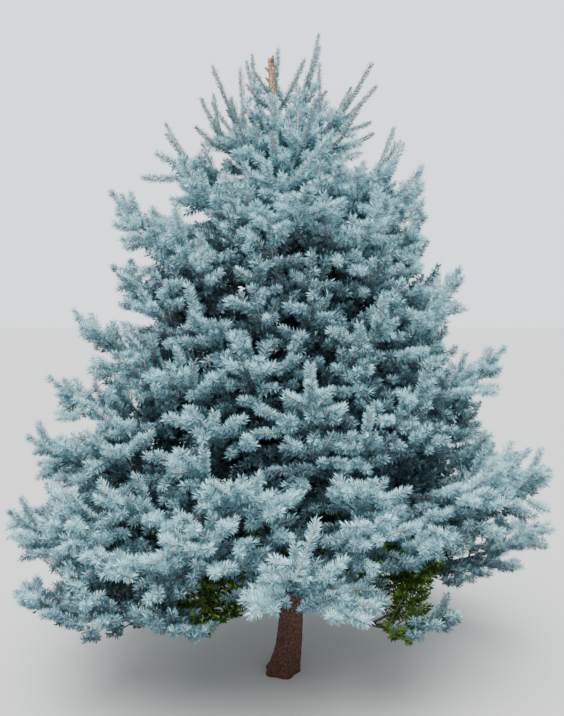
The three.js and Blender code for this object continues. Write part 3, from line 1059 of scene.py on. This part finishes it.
def grow_needles(name, shoots, seed):
    random = np.random.RandomState(seed)
    draw = seeded(seed)
    counts, lengths, widths = needle_sizes(shoots)
    short = random.uniform(0, 1, counts.sum()) < SHORT_SHARE
    corners, upwards = needle_corners(shoots, counts, lengths, widths, short, random)
    tints = np.repeat([tint_of(shoot, draw) for shoot in shoots], counts)
    slots = tints_of_needles(tints, short, upwards, random)
    faces = np.arange(len(corners)).reshape(-1, 3)
    return joined_mesh(name, corners, faces, slots, needle_tints)


def shared_out(shoots):
    """The shoots of a whorl by sectors, as many as keep each mesh under its most triangles."""
    weight = sum(USUAL_SHARE * NEEDLES_PER_MM[shoot.rank] * shoot.length for shoot in shoots)
    lots = math.ceil(weight / MOST_TRIANGLES)
    members = sorted({(shoot.bough.plan_angle, shoot.bough.seed) for shoot in shoots})
    size = math.ceil(len(members) / lots)
    groups = [{seed for _, seed in members[k:k + size]} for k in range(0, len(members), size)]
    return [[shoot for shoot in shoots if shoot.bough.seed in group] for group in groups]


def grown_on(whorl):
    return [twig for twig in grown if twig.bough.whorl == whorl]


def dress_whorl(whorl):
    for number, lot in enumerate(shared_out(grown_on(whorl)), start=1):
        piece = grow_needles(f"needles_{whorl}_{number}", lot, 7 + 10 * number + len(whorl))
        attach(piece, "root")
        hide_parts(*sorted({twig.bough.node for twig in lot if twig.bough.node}))
        print(piece.name, "triangles", len(piece.data.polygons))


for whorl in WHORLS:
    dress_whorl(whorl)

# %% [markdown]
# ## Stems
# The stems of twigs and shoots could be curve objects with a thickness, but there are thirteen
# thousand of them. They are slim, so three sides are enough, and they are made as arrays in the same
# way as the needles: a ring of three corners at two or three places along each stem, and faces
# between the rings.

# %% Corners and faces of the stems
STEM_RADII = {"side": 3.2, "tip": 4.2, "erect": 4.2, "long": 5.0, "end": 3.1, "shoot": 1.9}
TIP_THICKNESS = 0.55  # of a stem's radius at its foot


def stem_corners(twigs, rings):
    """Rings of three corners along every stem, smaller towards its tip."""
    root, heading, reach, lift = as_arrays(twigs)
    thick = np.array([[STEM_RADII[twig.rank]] for twig in twigs])
    across = unit(np.cross(LEVEL_ROW, heading))
    over = np.cross(heading, across)
    corners = []
    for ring, corner in product(range(rings), range(3)):
        share = ring / (rings - 1)
        middle = root + heading * (reach * share) + UP_ROW * lift * share**2
        turn = 2 * math.pi * corner / 3 + math.pi / 2
        out = across * math.cos(turn) + over * math.sin(turn)
        corners.append(middle + out * thick * between(1, TIP_THICKNESS, share))
    return np.stack(corners, axis=1).reshape(-1, 3)


def stem_faces(rings):
    """The faces of one stem, which close it at both ends."""
    faces = [(0, 2, 1)]
    for ring, corner in product(range(rings - 1), range(3)):
        a, b = 3 * ring + corner, 3 * ring + (corner + 1) % 3
        faces += [(a, b, b + 3), (a, b + 3, a + 3)]
    last = 3 * rings
    return np.array(faces + [(last - 3, last - 2, last - 1)])


print("faces of a stem with two rings", len(stem_faces(2)), "and with three", len(stem_faces(3)))

# %% Grow the stems of every whorl
CURVED_RANKS = ("side", "tip", "erect", "long")
SHADED_STEM_LIGHT = 0.2  # stems with less light are painted the dark grey-brown of old twigs, as shade
young_bark = plain_material("young tan twig", (0.6, 0.42, 0.32), 0.7)
aged_and_shaded_bark = plain_material("aged and shaded grey-brown twig", (0.1, 0.085, 0.08), 0.85)


def grow_stems(name, twigs):
    """Long stems have three rings, so that they can curve, and short ones have two."""
    corners, faces, slots = [], [], []
    for curved, rings in ((True, 3), (False, 2)):
        lot = [twig for twig in twigs if (twig.rank in CURVED_RANKS) == curved]
        one_stem = stem_faces(rings)
        first = sum(len(done) for done in corners) + 3 * rings * np.arange(len(lot))
        corners.append(stem_corners(lot, rings))
        faces.append((first[:, None, None] + one_stem).reshape(-1, 3))
        # painted shade: side twigs are old, and other stems with little light take the same dark grey-brown
        aged_and_shaded = np.array([twig.rank == "side" or twig.light <= SHADED_STEM_LIGHT for twig in lot])
        slots.append(np.repeat(np.where(aged_and_shaded, 1, 0), len(one_stem)))
    arrays = [np.concatenate(rows) for rows in (corners, faces, slots)]
    return joined_mesh(name, *arrays, [young_bark, aged_and_shaded_bark])


def stem_whorl(whorl):
    piece = grow_stems(f"twigs_{whorl}", grown_on(whorl))
    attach(piece, "root")
    print(piece.name, "triangles", len(piece.data.polygons))


for whorl in WHORLS:
    stem_whorl(whorl)

# %% [markdown]
# ## Bark
# Spruce bark is a skin of thin scales with cracks between them, duller in the cracks, and painted
# darker there as shade. Trunk and boughs wear it at two sizes, so the pattern is one node group with
# its own scale, colours and relief, and each material places it with its own values. On the trunk it
# is redder at the foot and tan on the bare leader, which a ramp along the height gives.

# %% Helpers for shader nodes
def add_node(tree, kind, values, **settings):
    """A node with its settings, and with values or links for its inputs."""
    node = tree.nodes.new(kind)
    for label, setting in settings.items():
        setattr(node, label, setting)
    set_inputs(tree, node, values)
    return node


def mixed_colour(tree, share, first, second, blend_type="MIX"):
    """A colour mix has its share as input 0, its colours as inputs 6 and 7, and puts out number 2."""
    values = {0: share, 6: first, 7: second}
    return add_node(tree, "ShaderNodeMix", values, data_type="RGBA", blend_type=blend_type).outputs[2]


def mapped(tree, value, **ends):
    """A number stretched from its ends to new ones, such as from_max or to_min."""
    values = {label.replace("_", " ").title(): end for label, end in ends.items()}
    return add_node(tree, "ShaderNodeMapRange", {**values, "Value": value}).outputs["Result"]


def new_group(name, inputs, outputs):
    """A shader node group with named sockets, and its input and output nodes."""
    group = bpy.data.node_groups.new(name, "ShaderNodeTree")
    for label, kind, value in inputs:
        socket = group.interface.new_socket(label, in_out="INPUT", socket_type=kind)
        socket.default_value = value
    for label, kind in outputs:
        group.interface.new_socket(label, in_out="OUTPUT", socket_type=kind)
    return group, group.nodes.new("NodeGroupInput"), group.nodes.new("NodeGroupOutput")


print("materials so far", len(bpy.data.materials))

# %% A node group for scaly bark
FLOAT, COLOUR = "NodeSocketFloat", "NodeSocketColor"
WHITE, BLACK = (1, 1, 1, 1), (0, 0, 0, 1)
SCALE_SQUASH = (1, 1, 0.62)  # bark scales are longer along the wood
CRACK_WIDTH = 0.16  # of a scale
GRAIN_HEIGHT = 0.35  # of a scale's
CRACK_ROUGHNESS = 0.95
SCALE_ROUGHNESS = 0.72


def scaled_place(tree, size):
    """Object coordinates times a size, squashed along the height."""
    place = tree.nodes.new("ShaderNodeTexCoord").outputs["Object"]
    scaled = add_node(tree, "ShaderNodeVectorMath", {0: place, "Scale": size}, operation="SCALE")
    values = {0: scaled.outputs["Vector"], 1: SCALE_SQUASH}
    return add_node(tree, "ShaderNodeVectorMath", values, operation="MULTIPLY").outputs["Vector"]


def scaly_bark_group():
    """Scales with cracks between them and worn patches, as a colour, a height and a roughness."""
    group, given, made = new_group(
        "scaly bark",
        [("Scales per metre", FLOAT, 60), ("Crack", COLOUR, BLACK), ("Scale", COLOUR, WHITE),
         ("Worn", COLOUR, WHITE)],
        [("Color", COLOUR), ("Height", FLOAT), ("Roughness", FLOAT)],
    )
    place = scaled_place(group, given.outputs["Scales per metre"])
    values = {"Scale": 1, "Vector": place}
    cells = add_node(group, "ShaderNodeTexVoronoi", values, feature="DISTANCE_TO_EDGE")
    on_scale = mapped(group, cells.outputs["Distance"], from_max=CRACK_WIDTH)
    noise_node = add_node(group, "ShaderNodeTexNoise", {"Scale": 2.2, "Detail": 5, "Vector": place})
    grain = noise_node.outputs["Fac"]
    patches = mapped(group, grain, from_min=0.42, from_max=0.62)
    values = {0: grain, 1: GRAIN_HEIGHT, 2: on_scale}
    height = add_node(group, "ShaderNodeMath", values, operation="MULTIPLY_ADD")
    dull = mapped(group, on_scale, to_min=CRACK_ROUGHNESS, to_max=SCALE_ROUGHNESS)
    scale_colour = mixed_colour(group, patches, given.outputs["Scale"], given.outputs["Worn"])
    # painted shade: the cracks take the darker crack colour
    colour = mixed_colour(group, on_scale, given.outputs["Crack"], scale_colour)
    set_inputs(group, made, {"Color": colour, "Height": height.outputs["Value"], "Roughness": dull})
    return group


scaly_bark = scaly_bark_group()
print("bark group sockets", [socket.name for socket in scaly_bark.interface.items_tree])

# %% Bark materials
TRUNK_TINTS = [  # at shares of the trunk's height
    (0, (0.52, 0.33, 0.27)),
    (0.12, (0.48, 0.36, 0.33)),
    (0.3, (0.4, 0.38, 0.37)),
    (0.8, (0.8, 0.75, 0.62)),
    (0.9, (1.9, 1.8, 1.3)),
]


def bark_material(name, scales, relief, **colours):
    """The group in a material, with its height in a bump."""
    material = new_material(name, {"Specular IOR Level": 0.3})
    tree = material.node_tree
    values = {label.title(): (*colour, 1) for label, colour in colours.items()}
    values["Scales per metre"] = scales
    skin = add_node(tree, "ShaderNodeGroup", values, node_tree=scaly_bark)
    bump_values = {"Strength": 0.8, "Distance": relief, "Height": skin.outputs["Height"]}
    bump = add_node(tree, "ShaderNodeBump", bump_values)
    set_inputs(tree, tree.nodes["Principled BSDF"], {
        "Normal": bump.outputs["Normal"],
        "Roughness": skin.outputs["Roughness"],
        "Base Color": skin.outputs["Color"],
    })
    return material


def tinted_by_height(material, tints):
    """Multiplies a bark's colour by tints along the trunk."""
    tree = material.node_tree
    shader = tree.nodes["Principled BSDF"]
    bark_colour = shader.inputs["Base Color"].links[0].from_socket
    place = tree.nodes.new("ShaderNodeTexCoord").outputs["Object"]
    height = add_node(tree, "ShaderNodeSeparateXYZ", {"Vector": place}).outputs["Z"]
    ramp = add_node(tree, "ShaderNodeValToRGB", {"Fac": mapped(tree, height, from_max=TRUNK_HEIGHT * MM)})
    while len(ramp.color_ramp.elements) < len(tints):
        ramp.color_ramp.elements.new(0.5)
    for element, (place_on_trunk, tint) in zip(ramp.color_ramp.elements, tints):
        element.position = place_on_trunk
        element.color = (*tint, 1)
    tinted = mixed_colour(tree, 1, bark_colour, ramp.outputs["Color"], blend_type="MULTIPLY")
    tree.links.new(tinted, shader.inputs["Base Color"])


# painted shade: each crack colour is a darker copy of its scale colour
bark = bark_material(
    "scaly spruce bark", 95, 0.004,
    crack=(0.13, 0.08, 0.065), scale=(0.22, 0.135, 0.105), worn=(0.36, 0.27, 0.22),
)
tinted_by_height(bark, TRUNK_TINTS)
bough_bark = bark_material(
    "dark bough bark", 190, 0.002,
    crack=(0.025, 0.021, 0.02), scale=(0.06, 0.048, 0.044), worn=(0.12, 0.1, 0.092),
)
print("bark materials", bark.name, "and", bough_bark.name)

# %% [markdown]
# ## Trunk and boughs
# The wood could be a curve with a round profile, but its corners would be hard to reach. Instead it
# is turned, like a table leg: an outline is spun round an axis and then bent along the middle line of
# the trunk or bough. Spruce bark flakes off in small scales, and the corners are pushed in and out by
# a cell pattern to give that relief a real edge.

# %% Turned wood
MERGE_WITHIN = 1e-5
FLAKE_STRETCH = 1.5  # along the wood
CRACK_SHARPNESS = 2.2
MEAN_SKIN = 0.6  # between 0 in a crack and 1 on a scale


def turned_rod(outline, sides):
    """A closed rod along +Z, from an outline of (radius, place) pairs that ends on the axis."""
    rod = bmesh.new()
    corners = [rod.verts.new((radius, 0, place)) for radius, place in outline]
    edges = [rod.edges.new(pair) for pair in zip(corners, corners[1:])]
    bmesh.ops.spin(
        rod, geom=corners + edges, cent=(0, 0, 0), axis=(0, 0, 1), angle=2 * math.pi, steps=sides,
        use_merge=True,
    )
    bmesh.ops.remove_doubles(rod, verts=rod.verts, dist=MERGE_WITHIN)
    bmesh.ops.recalc_face_normals(rod, faces=rod.faces)
    return rod


def flaky(point, flake, relief):
    """A factor for the radius, more than 1 on a bark scale and less in the cracks."""
    place = Vector((point.x / flake, point.y / flake, point.z / (FLAKE_STRETCH * flake)))
    distances, _ = noise.voronoi(place)
    on_scale = min(1, CRACK_SHARPNESS * (distances[1] - distances[0]))
    return 1 + relief * (on_scale - MEAN_SKIN)


def finish_rod(rod, name, material):
    for face in rod.faces:
        face.smooth = True
    mesh = bpy.data.meshes.new(name)
    rod.to_mesh(mesh)
    rod.free()
    mesh.materials.append(material)
    piece = placed(name, mesh)
    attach(piece, "root")
    return piece


peg = turned_rod([(0, 0), (1, 0), (1, 1), (0, 1)], 8)
print("faces of a peg with eight sides", len(peg.faces))
peg.free()

# %% Trunk
TRUNK_SIDES = 64
TRUNK_RING_STEP = 7
UPPER_RING_STEP = 18
FINE_RINGS_BELOW = 640  # where the trunk is seen
TRUNK_FLAKE = 17
TRUNK_RELIEF = 0.05
ROOT_LOBES = 5
LOBE_DEPTH = 0.1


def trunk_outline():
    outline = [(0, 0)]
    height = 0
    while height < TRUNK_HEIGHT:
        outline.append((trunk_radius(height), height))
        height += TRUNK_RING_STEP if height < FINE_RINGS_BELOW else UPPER_RING_STEP
    return [*outline, (trunk_radius(TRUNK_HEIGHT), TRUNK_HEIGHT), (0, TRUNK_HEIGHT)]


def make_trunk():
    rod = turned_rod(trunk_outline(), TRUNK_SIDES)
    for vert in rod.verts:
        height = vert.co.z
        turn = math.atan2(vert.co.y, vert.co.x)
        lobe = LOBE_DEPTH * math.exp(-height / FLARE_HEIGHT) * math.cos(ROOT_LOBES * turn)
        relief = flaky(vert.co, TRUNK_FLAKE, TRUNK_RELIEF) if 0 < height < TRUNK_HEIGHT else 1
        middle = trunk_middle(height)
        vert.co.x = middle.x + vert.co.x * (1 + lobe) * relief
        vert.co.y = middle.y + vert.co.y * (1 + lobe) * relief
    bmesh.ops.scale(rod, vec=(MM, MM, MM), verts=rod.verts)
    piece = finish_rod(rod, "trunk_bark", bark)
    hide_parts("trunk")
    return piece


trunk = make_trunk()
print("trunk faces", len(trunk.data.polygons))

# %% Stubs on the leader
LEADER_STUBS = [(2452, 200), (2470, 330), (2496, 160), (2508, 20), (2530, 285)]  # height, plan angle
STUB_LENGTH = 26
STUB_RADIUS = 6
STUB_SIDES = 8
STUB_TILT = 48  # degrees from upright


def make_stub(height, plan_angle):
    """The short foot of a shoot that has gone, tipped up by half a right angle."""
    outline = [(0, 0), (1.3 * STUB_RADIUS, 0), (STUB_RADIUS, 0.5 * STUB_LENGTH)]
    outline += [(0.8 * STUB_RADIUS, STUB_LENGTH), (0, 1.1 * STUB_LENGTH)]
    stub = turned_rod(outline, STUB_SIDES)
    tilt = Matrix.Rotation(math.radians(STUB_TILT), 3, "Y")
    turn = Matrix.Rotation(math.radians(plan_angle), 3, "Z") @ tilt
    bmesh.ops.rotate(stub, matrix=turn, cent=(0, 0, 0), verts=stub.verts)
    foot = trunk_middle(height) + level_heading(plan_angle) * 0.6 * trunk_radius(height)
    bmesh.ops.translate(stub, vec=foot, verts=stub.verts)
    return stub


def joined_rods(rods):
    """Several rods as one bmesh in metres."""
    whole = bmesh.new()
    for rod in rods:
        scratch = bpy.data.meshes.new("one rod")
        rod.to_mesh(scratch)
        rod.free()
        whole.from_mesh(scratch)
        bpy.data.meshes.remove(scratch)
    bmesh.ops.scale(whole, vec=(MM, MM, MM), verts=whole.verts)
    return whole


stubs = joined_rods([make_stub(height, plan_angle) for height, plan_angle in LEADER_STUBS])
stubs = finish_rod(stubs, "leader_stubs", bark)
print("stub faces", len(stubs.data.polygons))

# %% Wood of the boughs
BOUGH_SIDES = 10
BOUGH_RINGS = 22
FOOT_THICKNESS = 0.0165  # of a bough's length, as a radius
TIP_RADIUS = 3.5
BOUGH_FLAKE = 9
BOUGH_RELIEF = 0.12


def make_bough_rod(bough, last):
    """The wood of a bough, up to a share of its length."""
    shares = [last * k / BOUGH_RINGS for k in range(BOUGH_RINGS + 1)]
    foot_radius = FOOT_THICKNESS * bough.length
    outline = [(0, 0), *[(between(foot_radius, TIP_RADIUS, share), share) for share in shares], (0, last)]
    rod = turned_rod(outline, BOUGH_SIDES)
    for vert in rod.verts:
        share = vert.co.z
        _, across, over = bough_axes(bough, share)
        grain = Vector((vert.co.x, vert.co.y, share * bough.length))
        relief = flaky(grain, BOUGH_FLAKE, BOUGH_RELIEF)
        vert.co = bough_point(bough, share) + (across * vert.co.x + over * vert.co.y) * relief
    return rod


def make_bough_wood(members, name):
    whole = joined_rods([make_bough_rod(bough, tip_start(bough)) for bough in members])
    return finish_rod(whole, name, bough_bark)


strong = [bough for bough in boughs if bough.node]
limbs = make_bough_wood([bough for bough in strong if bough.whorl == "skirt"], "limb_bark")
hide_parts(*[node for node in NODES if node.startswith("bough")])
stems = make_bough_wood([bough for bough in strong if bough.whorl != "skirt"], "bough_bark")
lesser = make_bough_wood([bough for bough in boughs if not bough.node], "lesser_bough_bark")
print("bough faces", sum(len(piece.data.polygons) for piece in (limbs, stems, lesser)))

# %% [markdown]
# ## The floor and the light
# A plain pale floor and a pale sky stand in for the garden. Through thin cloud the sun is a wide
# bright patch, so one very soft sun from the upper left models the storeys, and the whole sky fills
# their shade. A small lamp would draw hard shadows, which the photograph doesn't have.

# %% Floor, sky and sun
FLOOR_HALF = 30
SKY_COLOUR = (0.88, 0.94, 1.0, 1)
SKY_AS_LIGHT = 0.9
SKY_AS_SEEN = 1.9
SUN_STRENGTH = 5.0
SUN_WIDTH = 50  # degrees
SUN_TILT = (26, -5)  # degrees about x and y


def add_floor():
    slab = bmesh.new()
    bmesh.ops.create_grid(slab, x_segments=1, y_segments=1, size=FLOOR_HALF)
    mesh = bpy.data.meshes.new("floor")
    slab.to_mesh(mesh)
    slab.free()
    mesh.materials.append(plain_material("pale floor", (0.7, 0.7, 0.68), 0.9))
    placed("floor", mesh)


def add_sky():
    """A dome that is pale to look at, and dimmer as a light."""
    world = bpy.data.worlds.new("overcast sky")
    world.use_nodes = True
    tree = world.node_tree
    seen = tree.nodes.new("ShaderNodeLightPath").outputs["Is Camera Ray"]
    strength = mapped(tree, seen, to_min=SKY_AS_LIGHT, to_max=SKY_AS_SEEN)
    set_inputs(tree, tree.nodes["Background"], {"Color": SKY_COLOUR, "Strength": strength})
    bpy.context.scene.world = world


def add_sun():
    """A high, very soft sun from the left behind the camera."""
    light = bpy.data.lights.new("soft sun", "SUN")
    light.energy = SUN_STRENGTH
    light.angle = math.radians(SUN_WIDTH)
    sun = placed("soft sun", light)
    sun.rotation_euler = (math.radians(SUN_TILT[0]), math.radians(SUN_TILT[1]), 0)


add_floor()
add_sky()
add_sun()
